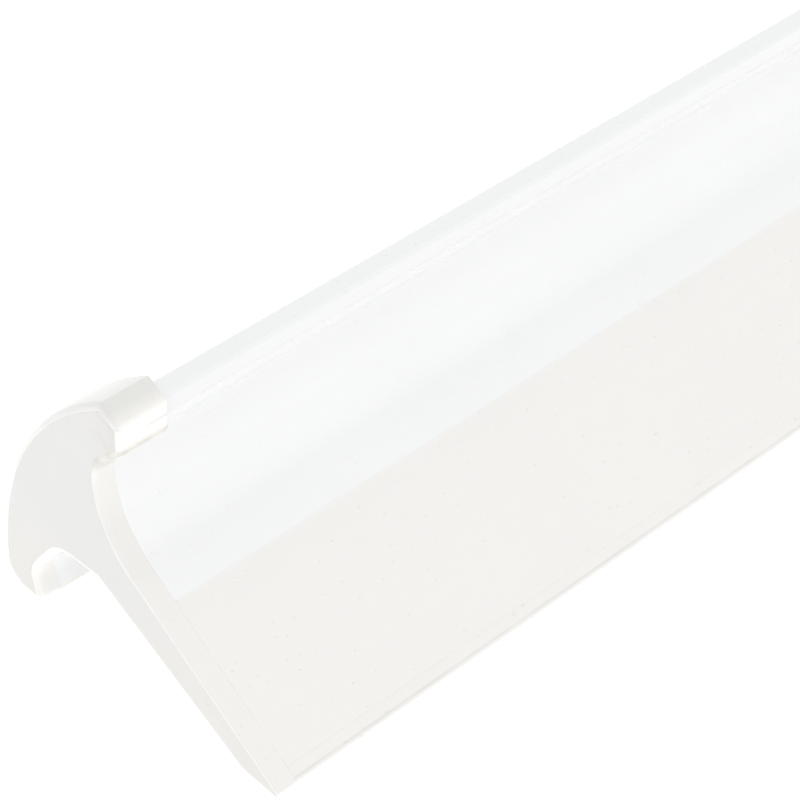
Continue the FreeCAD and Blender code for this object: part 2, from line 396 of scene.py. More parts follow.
@dataclass(frozen=True)
class SatinCap:
    """Satin moulded plastic: greyer on its flat face, ivory on its rims and stained between.

    The grey of the flat face is painted shade and the ivory of the rims a painted highlight;
    the rims carry painted shade on top of the back, at the neck's heights and under the lip,
    and the face's lower edges painted shade in blotches near the floor. A pair of places
    says where a tone starts and where it is full, in metres along Y or Z.
    """

    # face: the cap's plastic darkened, painted shade on the flat end face
    face: tuple[float, float, float, float] = rgb(0.69, 0.685, 0.678)
    leg: tuple[float, float, float, float] = rgb(0.715, 0.695, 0.662)
    # rim: the cap's plastic lightened, painted highlight on the rims and the skirt
    rim: tuple[float, float, float, float] = rgb(0.868, 0.856, 0.828)
    # back: painted shade on the rim over the top of the back, and weaker at the neck's heights
    back: tuple[float, float, float, float] = rgb(0.765, 0.758, 0.735)
    # stain: real stains on the face's nose and edges, and painted shade under the lip
    stain_and_shade: tuple[float, float, float, float] = rgb(0.56, 0.52, 0.45)
    # grime: the colour of scuffs, and of painted shade along the face's lower edges near the
    # floor
    grime: tuple[float, float, float, float] = rgb(0.36, 0.31, 0.25)
    roughness: float = 0.3
    floor_shade_z: tuple[float, float] = (0.012, 0.0005)
    leg_z: tuple[float, float] = (0.016, 0.006)
    nose_z: tuple[float, float] = (0.029, 0.036)
    nose_y: tuple[float, float] = (0.009, 0.002)
    back_shade_z: tuple[float, float] = (0.027, 0.031)
    back_shade_y: tuple[float, float] = (0.0005, 0.0022)
    neck_shade_low_z: tuple[float, float] = (0.015, 0.022)
    neck_shade_high_z: tuple[float, float] = (0.036, 0.034)
    roof_shade_low_z: tuple[float, float] = (0.0285, 0.0305)
    roof_shade_high_z: tuple[float, float] = (0.0354, 0.0345)
    roof_shade_y: tuple[float, float] = (0.0062, 0.0054)

    def make(self) -> bpy.types.Material:
        """Draw the finish.

        Returns:
            The material.
        """
        pad = Pad("satin_cap")
        grain = pad.noise(5200.0, detail=3.0)
        flow = pad.noise(160.0, pad.stretched(1.0, 1.0, 0.6))
        clouds = pad.noise(70.0)
        blotches = pad.noise(520.0, detail=3.0).rise(0.42, 0.68)
        rim = pad.node("ShaderNodeAttribute", {"attribute_name": "rim"}, {}, "Fac")
        edge = rim * (1.0 - rim) * 4.0
        _, y, z = pad.axes()
        foot = z.rise(*self.floor_shade_z)
        nose = z.rise(*self.nose_z) * y.rise(*self.nose_y)
        # painted shade on the rim over the top of the back
        back = y.rise(*self.back_shade_y) * z.rise(*self.back_shade_z)
        # painted shade on the rim at the neck's heights
        neck = z.rise(*self.neck_shade_low_z) * z.rise(*self.neck_shade_high_z) * 0.6
        # painted shade under the lip, in the pocket's roof
        roof = z.rise(*self.roof_shade_high_z) * z.rise(*self.roof_shade_low_z) * y.rise(*self.roof_shade_y)
        scuffs = pad.specks(1100.0, 0.15, 0.13).at_least(pad.specks(480.0, 0.08, 0.1))
        tone = pad.blend(clouds.rise(0.3, 0.75), shade(self.face, 0.985), shade(self.face, 1.012))
        tone = pad.blend(z.rise(*self.leg_z) * 0.8, tone, self.leg)
        tone = pad.blend(nose * (blotches * 0.2 + 0.12), tone, self.stain_and_shade)
        # rims: painted highlight tone, with painted shade on top of the back and at the neck
        outside = pad.blend(back.at_least(neck), self.rim, self.back)
        # painted shade under the lip, made blotchy
        outside = pad.blend(roof * (blotches * 0.3 + 0.35), outside, self.stain_and_shade)
        # painted shade on the flat face, painted highlight on the rims
        tone = pad.blend(rim.rise(0.1, 1.0), tone, outside)
        tone = pad.blend(edge * (blotches * 0.3 + 0.12), tone, self.stain_and_shade)
        # painted shade in blotches along the face's lower edges near the floor
        tone = pad.blend(edge * foot * blotches * 0.55, tone, self.grime)
        tone = pad.blend(scuffs * 0.16, tone, self.grime)
        skin = pad.bump(flow, 0.00003)
        pad.set(
            Base_Color=tone,
            Roughness=self.roughness + grain * 0.08 + scuffs * 0.15 + edge * 0.1,
            Normal=pad.bump(grain, 0.000005, skin),
            IOR=1.48,
        )
        return pad.material


@dataclass(frozen=True)
class SoftPvc:
    """Soft matt PVC of the two seals, with dirt specks and painted shade along the fin's edge."""

    colour: tuple[float, float, float, float] = rgb(0.878, 0.866, 0.842)
    # colour of the dirt specks and of the painted shade along the fin's edge
    dirt_and_edge_shade: tuple[float, float, float, float] = rgb(0.42, 0.38, 0.31)
    shade_line_width: float = 0.22

    def make(self) -> bpy.types.Material:
        """Draw the finish.

        Returns:
            The material.
        """
        pad = Pad("soft_pvc")
        lines = pad.noise(1.0, pad.stretched(8.0, 2400.0, 2400.0))
        clouds = pad.noise(120.0)
        grime = pad.specks(700.0, 0.2, 0.14)
        s = SECTION.span / 2 - pad.axes()[1] / MM
        # the line of painted shade sits where the fin's front turns round its edge
        shade_line_s = SECTION.span - SECTION.edge_r
        line = s.rise(shade_line_s - self.shade_line_width, shade_line_s) * s.rise(shade_line_s + self.shade_line_width, shade_line_s)
        uneven = pad.noise(1.0, pad.stretched(130.0, 0.0, 0.0)).rise(0.3, 0.6) * 0.14 + 0.08
        tone = pad.blend(clouds.rise(0.3, 0.75), shade(self.colour, 0.985), self.colour)
        tone = pad.blend(grime * 0.15, tone, self.dirt_and_edge_shade)
        # painted shade in an uneven line along the fin's edge
        tone = pad.blend(line * uneven, tone, self.dirt_and_edge_shade)
        pad.set(
            Base_Color=tone,
            Roughness=0.3 + lines * 0.1,
            Normal=pad.bump(lines, 0.000004),
            IOR=1.47,
        )
        return pad.material


@dataclass(frozen=True)
class FoamTape:
    """White closed-cell foam."""

    colour: tuple[float, float, float, float] = rgb(0.82, 0.81, 0.785)

    def make(self) -> bpy.types.Material:
        """Draw the finish.

        Returns:
            The material.
        """
        pad = Pad("foam_tape")
        cells = pad.cells(2600.0)
        clouds = pad.noise(300.0)
        tone = pad.blend(cells.rise(0.1, 0.7), shade(self.colour, 0.86), self.colour)
        tone = pad.blend(clouds.rise(0.4, 0.8) * 0.4, tone, shade(self.colour, 0.93))
        pad.set(
            Base_Color=tone,
            Roughness=0.85 + clouds * 0.1,
            Normal=pad.bump(cells, 0.00006),
        )
        return pad.material


@dataclass(frozen=True)
class DrawnMetal:
    """Metal with drawing lines along X: the strip, the springs and the rivets."""

    name: str
    colour: tuple[float, float, float, float]
    roughness: float
    tarnish: tuple[float, float, float, float]

    def make(self) -> bpy.types.Material:
        """Draw the finish.

        Returns:
            The material.
        """
        pad = Pad(self.name)
        lines = pad.noise(1.0, pad.stretched(30.0, 5200.0, 5200.0), 4.0)
        clouds = pad.noise(90.0, detail=4.0)
        scratches = pad.noise(1.0, pad.stretched(220.0, 1500.0, 1500.0), 1.0).rise(0.68, 0.74)
        tone = pad.blend(lines.rise(0.3, 0.8), shade(self.colour, 0.9), self.colour)
        tone = pad.blend(clouds.rise(0.5, 0.8) * 0.5, tone, self.tarnish)
        drawn = pad.bump(lines, 0.000006)
        pad.set(
            Base_Color=tone,
            Metallic=1.0,
            Roughness=self.roughness + clouds * 0.12 + scratches * 0.12,
            Normal=pad.bump(scratches, 0.000004, drawn),
        )
        return pad.material


# ---- shapes --------------------------------------------------------------------------------


@dataclass(frozen=True)
class Corner:
    """Corner of an outline, with the radius that rounds it."""

    s: float
    z: float
    radius: float = 0.0

    @property
    def point(self) -> Vector:
        """The corner before it is rounded."""
        return Vector((self.s, self.z))


@dataclass(frozen=True)
class Tracer:
    """Turns corners and arcs into points."""

    turn: float = math.radians(7.0)
    chord: float = 0.6

    def arc(self, centre: Vector, radius: float, start: float, sweep: float) -> list[Vector]:
        """Points along an arc.

        Args:
            centre: The arc's centre.
            radius: Its radius.
            start: Angle of its first point.
            sweep: Signed angle to its last point.

        Returns:
            The points, with both ends.
        """
        turns = math.ceil(abs(sweep) / self.turn)
        chords = math.ceil(abs(sweep) * radius / self.chord)
        steps = max(3, turns, chords)
        angles = [start + sweep * i / steps for i in range(steps + 1)]
        return [centre + Vector((math.cos(a), math.sin(a))) * radius for a in angles]

    def between(self, centre: Vector, first: Vector, last: Vector) -> list[Vector]:
        """Points along the short arc about a centre.

        Args:
            centre: The arc's centre.
            first: Where the arc starts.
            last: A point in the direction where it ends.

        Returns:
            The points, with both ends.
        """
        start = math.atan2(*(first - centre).yx)
        end = math.atan2(*(last - centre).yx)
        sweep = (end - start + math.pi) % (2 * math.pi) - math.pi
        return self.arc(centre, (first - centre).length, start, sweep)

    def path(self, corners: Sequence[Corner], closed: bool = False) -> list[Vector]:
        """Points through corners.

        Args:
            corners: The corners in order.
            closed: Whether the path runs on from the last corner to the first, so that those
                two are rounded as well.

        Returns:
            The points in order.
        """
        points = []
        count = len(corners)
        for i, corner in enumerate(corners):
            if corner.radius <= 0.0 or (not closed and i in (0, count - 1)):
                points.append(corner.point)
                continue
            u = (corners[i - 1].point - corner.point).normalized()
            v = (corners[(i + 1) % count].point - corner.point).normalized()
            half = u.angle(v) / 2
            reach = corner.radius / math.tan(half)
            centre = corner.point + (u + v).normalized() * (corner.radius / math.sin(half))
            points += self.between(centre, corner.point + u * reach, corner.point + v * reach)
        return points


def inward(points: Sequence[Vector], distances: Sequence[float]) -> list[Vector]:
    """Move each point of a closed outline into it.

    Args:
        points: The outline, with the solid on its right-hand side in (s, z).
        distances: How far each point's two edges move.

    Returns:
        The moved points.
    """
    moved = []
    for i, point in enumerate(points):
        before = (point - points[i - 1]).normalized()
        after = (points[(i + 1) % len(points)] - point).normalized()
        normal = Vector((before.y + after.y, -before.x - after.x))
        reach = max(0.5, normal.length_squared / 2)
        moved.append(point + normal / reach * distances[i])
    return moved


def uncrossed(outline: Sequence[Vector], distances: Sequence[float]) -> list[float]:
    """Distances cut back until the outline stays simple when it moves inward by them.

    Sides that turn round are eased one by one first, and then all the distances together.

    Args:
        outline: Closed outline, with the solid on its right-hand side in (s, z).
        distances: How far each point's two edges would move.

    Returns:
        The distances that fold and cross nothing.
    """
    kept = list(distances)
    count = len(outline)
    for _ in range(FOLD_TRIES):
        moved = inward(outline, kept)
        sides = [(moved[i] - moved[i - 1]).dot(outline[i] - outline[i - 1]) for i in range(count)]
        folded = [i for i in range(count) if sides[i] < 0.0]
        if not folded:
            break
        for i in folded:
            kept[i] *= FOLD_EASE
            kept[i - 1] *= FOLD_EASE
    for _ in range(CROSS_TRIES):
        if not crosses_itself(inward(outline, kept)):
            break
        kept = [CROSS_EASE * distance for distance in kept]
    return kept


def crosses_itself(loop: Sequence[Vector]) -> bool:
    """Whether any two sides of a closed outline cross.

    Args:
        loop: The outline.

    Returns:
        True where some pair crosses.
    """

    def side(a: Vector, b: Vector, c: Vector) -> bool:
        """Whether c is on the left of the line from a to b."""
        return (b.x - a.x) * (c.y - a.y) > (b.y - a.y) * (c.x - a.x)

    for i in range(len(loop)):
        a, b = loop[i - 1], loop[i]
        for j in range(i + 2, len(loop) - (i == 0)):
            c, d = loop[j - 1], loop[j]
            if side(a, b, c) != side(a, b, d) and side(c, d, a) != side(c, d, b):
                return True
    return False


@dataclass(frozen=True)
class SweepSection:
    """Section of the bar and of its end caps."""

    span: float
    projection: float
    nose_top_s: float = 20.7
    back_foot_z: float = 3.0
    hook_corner_r: float = 3.6
    hook_foot_s: float = 6.7
    hook_tip_r: float = 0.9
    nose_width: float = 3.0
    nose_drop: float = 1.6
    lip_height: float = 2.85
    lip_r: float = 0.9
    neck_s: float = 18.9
    pocket_drop: float = 10.2
    pocket_height: float = 9.1
    pocket_top_r: float = 5.0
    pocket_foot_r: float = 13.0
    edge_t: float = 0.9
    edge_r: float = 0.4
    fin_foot: float = 6.0
    recess_corner_s: float = 18.2
    recess_corner_r: float = 2.4
    recess_roof_z: float = 12.2
    roof_fall: float = 0.3
    recess_shoulder_s: float = 11.0
    recess_shoulder_r: float = 5.0
    hook_wall_s: float = 5.5
    hook_wall_z: float = 4.6
    hook_wall_r: float = 4.0
    cap_proud: float = 1.0
    cap_lip_lap: float = 1.25
    groove_drop: float = 1.9
    groove_half: float = 0.2
    hook_seal_w: float = 2.0
    hook_seal_t: float = 1.0
    edge_seal_w: float = 1.6
    seal_room_r: float = 0.1
    seam_r: float = 0.02
    tracer: Tracer = field(default_factory=Tracer)

    @classmethod
    def from_frame(cls) -> "SweepSection":
        """Take the two overall sizes from the left end cap's box."""
        low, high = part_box("end_cap_left")
        return cls(span=(high.y - low.y) / MM, projection=high.z / MM)

    @property
    def fin_edge(self) -> Vector:
        """Upper corner of the fin's thin edge."""
        return Vector((self.span, self.edge_t))

    @property
    def pocket_foot(self) -> Vector:
        """Corner between the neck and the fin."""
        return Vector((self.neck_s, self.projection - self.pocket_drop - self.pocket_height))

    @property
    def pocket_top_z(self) -> float:
        """Height at which the pocket's roof ends."""
        return self.projection - self.pocket_drop

    @property
    def groove_z(self) -> float:
        """Height of the moulding groove along the cap's lip."""
        return self.projection - self.nose_drop - self.groove_drop

    def back_radius(self) -> float:
        """Radius of the cap's round back."""
        rise = self.projection - self.back_foot_z
        return (self.nose_top_s**2 + rise**2) / (2 * self.nose_top_s)

    def nose(self, proud: float) -> list[Corner]:
        """Corners from the top of the nose down to the pocket's foot.

        Args:
            proud: How far the outline stands outside the bar: 0 for the bar itself.

        Returns:
            The corners in order.
        """
        inset = self.cap_proud - proud
        lip_s = self.nose_top_s + self.nose_width - inset
        lip_z = self.projection - self.nose_drop
        low_z = lip_z - self.lip_height - self.cap_lip_lap * proud / self.cap_proud
        foot = self.pocket_foot
        corners = [Corner(lip_s, lip_z - inset / 2, self.lip_r)]
        if proud:
            steps = (self.groove_half, 0.0, -self.groove_half)
            corners += [Corner(lip_s, self.groove_z + step) for step in steps]
        corners.append(Corner(lip_s, low_z, self.lip_r))
        corners.append(Corner(self.neck_s, self.projection - self.pocket_drop, self.pocket_top_r))
        corners.append(Corner(foot.x, foot.y, self.pocket_foot_r))
        return corners

    def recess(self) -> list[Corner]:
        """Corners from the fin's heel round the recess to the hook's wall.

        Returns:
            The corners in order.
        """
        shoulder_z = self.recess_roof_z - self.roof_fall
        return [
            Corner(self.span - self.fin_foot, 0.0),
            Corner(self.recess_corner_s, self.recess_roof_z, self.recess_corner_r),
            Corner(self.recess_shoulder_s, shoulder_z, self.recess_shoulder_r),
            Corner(self.hook_wall_s, self.hook_wall_z, self.hook_wall_r),
        ]

    def back(self, inset: float) -> list[Vector]:
        """Points from the hook's foot up the round back to the top of the nose.

        Args:
            inset: How far the back lies inside the cap's: 0 for the cap itself.

        Returns:
            The points in order.
        """
        radius = self.back_radius() - inset
        centre = Vector((self.back_radius(), self.back_foot_z))
        top_z = self.projection - inset
        top = Vector((centre.x - math.sqrt(radius**2 - (top_z - centre.y) ** 2), top_z))
        drop = self.back_foot_z - self.hook_corner_r
        reach = math.sqrt((radius - self.hook_corner_r) ** 2 - drop**2)
        small = Vector((centre.x - reach, self.hook_corner_r))
        meet = centre + (small - centre).normalized() * radius
        lower = self.tracer.between(small, Vector((small.x, 0.0)), meet)
        return lower + self.tracer.between(centre, meet, top)[1:]

    def cap_outline(self) -> list[Vector]:
        """Outline of a cap, from the top of the nose over the fin and back up the hook.

        Returns:
            The outline's points.
        """
        back = self.back(0.0)
        top = back[-1]
        corners = [
            Corner(top.x, top.y),
            *self.nose(self.cap_proud),
            Corner(self.span, self.edge_t, self.edge_r),
            Corner(self.span, 0.0, self.edge_r),
            *self.recess(),
            Corner(self.hook_foot_s, 0.0, self.hook_tip_r),
            Corner(back[0].x, back[0].y),
        ]
        return self.tracer.path(corners) + back[1:-1]

    def fin_front(self, s: float) -> float:
        """Height of the fin's flat front at a place across the bar."""
        foot, edge = self.pocket_foot, self.fin_edge
        return foot.y + (edge.y - foot.y) * (s - foot.x) / (edge.x - foot.x)

    def bar_outline(self) -> list[Vector]:
        """Outline of the bar, without the room of its two seals.

        Returns:
            The outline's points.
        """
        back = self.back(self.cap_proud)
        top = back[-1]
        cut_s = self.span - self.edge_seal_w
        seal_s = self.hook_foot_s - self.hook_seal_w
        slope = (self.hook_foot_s - self.hook_wall_s) / self.hook_wall_z
        wall_s = self.hook_foot_s - self.hook_seal_t * slope
        corners = [
            Corner(top.x, top.y),
            *self.nose(0.0),
            Corner(cut_s, self.fin_front(cut_s), self.seam_r),
            Corner(cut_s, 0.0, self.seam_r),
            *self.recess(),
            Corner(wall_s, self.hook_seal_t, self.seal_room_r),
            Corner(seal_s, self.hook_seal_t),
            Corner(seal_s, 0.0, self.seal_room_r),
            Corner(back[0].x, back[0].y),
        ]
        return self.tracer.path(corners) + back[1:-1]


def point3(x: float, place: Vector) -> Vector:
    """Point of the frame, in metres, from X in metres and a place (s, z) in the section."""
    return Vector((x, (SECTION.span / 2 - place.x) * MM, place.y * MM))


def flat_loops(node: str, x: float) -> list[list[Vector]]:
    """Closed boundaries of a node's flat face across the bar, the longest first.

    Args:
        node: The CAD node.
        x: Where the face is, in metres.

    Returns:
        Each boundary as places (s, z), in order.
    """
    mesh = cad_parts[node].data
    near = 1e-5
    links: dict[tuple[int, int], list[tuple[int, int]]] = {}
    edges: dict[frozenset, int] = {}
    places: dict[tuple[int, int], Vector] = {}
    for face in mesh.polygons:
        corners = [mesh.vertices[i].co for i in face.vertices]
        if any(abs(corner.x - x) > near for corner in corners):
            continue
        keys = [(round(c.y / near), round(c.z / near)) for c in corners]
        for key, corner in zip(keys, corners):
            places[key] = Vector((SECTION.span / 2 - corner.y / MM, corner.z / MM))
        for i, key in enumerate(keys):
            edge = frozenset((keys[i - 1], key))
            edges[edge] = edges.get(edge, 0) + 1
    for edge, uses in edges.items():
        if uses == 1 and len(edge) == 2:
            first, second = edge
            links.setdefault(first, []).append(second)
            links.setdefault(second, []).append(first)
    loops = []
    while links:
        start = min(links)
        loop = [start]
        while True:
            onward = [key for key in links[loop[-1]] if key in links and key not in loop[-2:]]
            last = loop[-1]
            if not onward or onward[0] == start:
                break
            loop.append(onward[0])
            if len(loop) > 2 and last != start:
                links.pop(last)
        for key in loop:
            links.pop(key, None)
        loops.append([places[key] for key in loop])
    return sorted(loops, key=lambda loop: -outline_length(loop))


def outline_length(loop: Sequence[Vector]) -> float:
    """Length round a closed outline."""
    return sum((loop[i] - loop[i - 1]).length for i in range(len(loop)))


class Mesher:
    """A mesh while it is being built, with named helpers for rings and flat fills."""

    def __init__(self) -> None:
        """Start an empty mesh."""
        self.bm = bmesh.new()

    def ring(self, points: Sequence[Vector]) -> list[bmesh.types.BMVert]:
        """One vertex for each point."""
        return [self.bm.verts.new(point) for point in points]

    def section_ring(self, x: float, places: Sequence[Vector]) -> list[bmesh.types.BMVert]:
        """Ring across the bar at X, in metres."""
        return self.ring([point3(x, place) for place in places])

    def join(
        self,
        first: Sequence[bmesh.types.BMVert],
        second: Sequence[bmesh.types.BMVert],
        closed: bool = True,
    ) -> None:
        """Quads between two rings of the same length.

        Args:
            first: One ring.
            second: The other.
            closed: Whether the last pair joins the first.
        """
        for i in range(0 if closed else 1, len(first)):
            self.bm.faces.new((first[i - 1], first[i], second[i], second[i - 1]))

    def chain(
        self, rings: Sequence[Sequence[bmesh.types.BMVert]], closed: bool = True
    ) -> None:
        """Quads between each ring and the next."""
        for i in range(1, len(rings)):
            self.join(rings[i - 1], rings[i], closed)

    def fill(self, *rings: Sequence[bmesh.types.BMVert]) -> None:
        """Flat fill of the first ring, with the others as holes.

        Args:
            rings: The outer ring, then the holes.
        """
        edges = []
        for ring in rings:
            for i in range(len(ring)):
                pair = (ring[i - 1], ring[i])
                edges.append(self.bm.edges.get(pair) or self.bm.edges.new(pair))
        bmesh.ops.triangle_fill(self.bm, use_beauty=True, use_dissolve=False, edges=edges)

    def finish(self, name: str, sharp: float = 32.0) -> bpy.types.Object:
        """Turn the mesh into an object.

        Args:
            name: The piece's name.
            sharp: Edges that turn more than this many degrees stay sharp.

        Returns:
            The object, linked to the scene.
        """
        bmesh.ops.recalc_face_normals(self.bm, faces=self.bm.faces)
        mesh = bpy.data.meshes.new(name)
        self.bm.to_mesh(mesh)
        self.bm.free()
        mesh.polygons.foreach_set("use_smooth", [True] * len(mesh.polygons))
        mesh.set_sharp_from_angle(angle=math.radians(sharp))
        return evenly_shaded(name, mesh)


def evenly_shaded(name: str, mesh: bpy.types.Mesh) -> bpy.types.Object:
    """Put a mesh in the scene, with its shading even across large flat faces.

    Args:
        name: The object's name.
        mesh: Its mesh.

    Returns:
        The object.
    """
    made = bpy.data.objects.new(name, mesh)
    bpy.context.scene.collection.objects.link(made)
    shading = made.modifiers.new("even_shading", "WEIGHTED_NORMAL")
    shading.keep_sharp = True
    return made


def run_rings(
    mesher: Mesher, loop: Sequence[Vector], start: float, end: float, round_r: float
) -> tuple[list[bmesh.types.BMVert], list[bmesh.types.BMVert]]:
    """Walls of an extrusion whose cut ends have slightly rounded edges.

    Args:
        mesher: The mesh to add to.
        loop: Closed outline, with the solid on its right-hand side in (s, z).
        start: X of its left end, in metres.
        end: X of its right end.
        round_r: Radius of the rounding, in millimetres.

    Returns:
        The innermost ring at each end.
    """
    rings = []
    for side, x in ((1.0, start), (-1.0, end)):
        stack = []
        for i in range(CUT_STEPS + 1):
            angle = math.pi / 2 * i / CUT_STEPS
            places = inward(loop, [round_r * (1 - math.sin(angle))] * len(loop))
            along = x + side * round_r * MM * (1 - math.cos(angle))
            stack.append(mesher.section_ring(along, places))
        rings.append(stack)
    walls = rings[0] + rings[1][::-1]
    mesher.chain(walls)
    return walls[0], walls[-1]


def dress(
    piece: bpy.types.Object, finish: bpy.types.Material, body: Body
) -> bpy.types.Object:
    """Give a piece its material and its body.

    Args:
        piece: The piece.
        finish: Its material.
        body: The body that it rides on.

    Returns:
        The piece.
    """
    piece.data.materials.clear()
    piece.data.materials.append(finish)
    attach(piece, body.value)
    LOG.info("%s rides on %s, %d faces", piece.name, body.value, len(piece.data.polygons))
    return piece


# ---- sub-assemblies ------------------------------------------------------------------------


@dataclass
class Cover:
    """The bar, its grip tongue and its two soft seals."""

    tongue_t: float = 1.4
    tongue_root: float = 0.3
    tip_share: float = 0.8
    rivet_clearance: float = 1.1
    cut_round: float = 0.06
    seal_round: float = 0.05
    hook_seal_lean: float = 0.1
    hook_seal_top_r: float = 0.08
    hook_seal_outer_r: float = 0.45
    hook_seal_inner_r: float = 0.25

    def build(self) -> list[bpy.types.Object]:
        """Make every piece of the cover.

        Returns:
            The pieces.
        """
        gloss = GlossUpvc().make()
        soft = SoftPvc().make()
        bar = dress(self.bar(), gloss, Body.COVER)
        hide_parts("cover_profile")
        tongue = dress(self.tongue(), gloss, Body.COVER)
        hook = dress(self.hook_seal(), soft, Body.COVER)
        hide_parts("hook_seal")
        edge = dress(self.edge_seal(), soft, Body.COVER)
        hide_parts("edge_seal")
        return [bar, tongue, hook, edge]

    def bar(self) -> bpy.types.Object:
        """Hollow extrusion with its chambers open at both ends.

        Returns:
            The bar.
        """
        low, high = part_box("cover_profile")
        mesher = Mesher()
        outer = run_rings(mesher, SECTION.bar_outline(), low.x, high.x, self.cut_round)
        inner = [
            run_rings(mesher, oriented(loop, True), low.x, high.x, self.cut_round / 2)
            for loop in flat_loops("cover_profile", low.x)[1:]
        ]
        for end in (0, 1):
            mesher.fill(outer[end], *(rings[end] for rings in inner))
        return mesher.finish("cover_bar")

    def tongue(self) -> bpy.types.Object:
        """Flat tongue under the roof of the recess, with a rounded tip.

        Returns:
            The tongue.
        """
        strip_low, strip_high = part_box("mounting_strip")
        clip_low, clip_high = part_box("spring_clip_1")
        middle = SECTION.span / 2 - (clip_low.y + clip_high.y) / 2 / MM
        half = self.tongue_t / 2
        tip_r = half * self.tip_share
        tip = self.tip_height()
        roof = SECTION.recess_roof_z + self.tongue_root
        corners = [
            Corner(middle + half, roof),
            Corner(middle + half, tip, tip_r),
            Corner(middle - half, tip, tip_r),
            Corner(middle - half, roof),
        ]
        loop = oriented(SECTION.tracer.path(corners), False)
        mesher = Mesher()
        ends = run_rings(mesher, loop, strip_low.x, strip_high.x, self.cut_round)
        for ring in ends:
            mesher.fill(ring)
        return mesher.finish("grip_tongue")

    def tip_height(self) -> float:
        """Height of the tongue's tip over the door, which clears the rivets' heads."""
        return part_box("clip_rivets")[1].z / MM + self.rivet_clearance

    def hook_seal(self) -> bpy.types.Object:
        """Soft strip under the hook, rounded where it bears on the door.

        Returns:
            The seal.
        """
        low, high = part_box("hook_seal")
        outer_s = SECTION.span / 2 - low.y / MM
        inner_s = SECTION.span / 2 - high.y / MM
        top = high.z / MM
        corners = [
            Corner(outer_s - self.hook_seal_lean, top, self.hook_seal_top_r),
            Corner(outer_s, 0.0, self.hook_seal_outer_r),
            Corner(inner_s, 0.0, self.hook_seal_inner_r),
            Corner(inner_s, top, self.hook_seal_top_r),
        ]
        return self.strip("hook_lip_seal", corners, low.x, high.x)

    def edge_seal(self) -> bpy.types.Object:
        """Soft strip along the fin's lower edge, flush with the bar.

        Returns:
            The seal.
        """
        low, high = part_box("edge_seal")
        cut_s = SECTION.span - SECTION.edge_seal_w
        corners = [
            Corner(cut_s, SECTION.fin_front(cut_s), SECTION.seam_r),
            Corner(SECTION.span, SECTION.edge_t, SECTION.edge_r),
            Corner(SECTION.span, 0.0, SECTION.edge_r),
            Corner(cut_s, 0.0, SECTION.seam_r),
        ]
        return self.strip("fin_edge_seal", corners, low.x, high.x)

    def strip(
        self, name: str, corners: Sequence[Corner], start: float, end: float
    ) -> bpy.types.Object:
        """Soft strip along the bar.

        Args:
            name: The piece's name.
            corners: Its section.
            start: X of its left end, in metres.
            end: X of its right end.

        Returns:
            The strip.
        """
        mesher = Mesher()
        loop = oriented(SECTION.tracer.path(corners, closed=True), False)
        for ring in run_rings(mesher, loop, start, end, self.seal_round):
            mesher.fill(ring)
        return mesher.finish(name)


def oriented(loop: Sequence[Vector], hole: bool) -> list[Vector]:
    """Order a loop so that the solid is on its right-hand side in (s, z).

    Args:
        loop: Closed outline.
        hole: Whether the solid is outside it.

    Returns:
        The loop, turned round if need be.
    """
    doubled = sum(loop[i - 1].x * loop[i].y - loop[i].x * loop[i - 1].y for i in range(len(loop)))
    clockwise = doubled < 0
    return list(loop) if clockwise != hole else list(loop)[::-1]


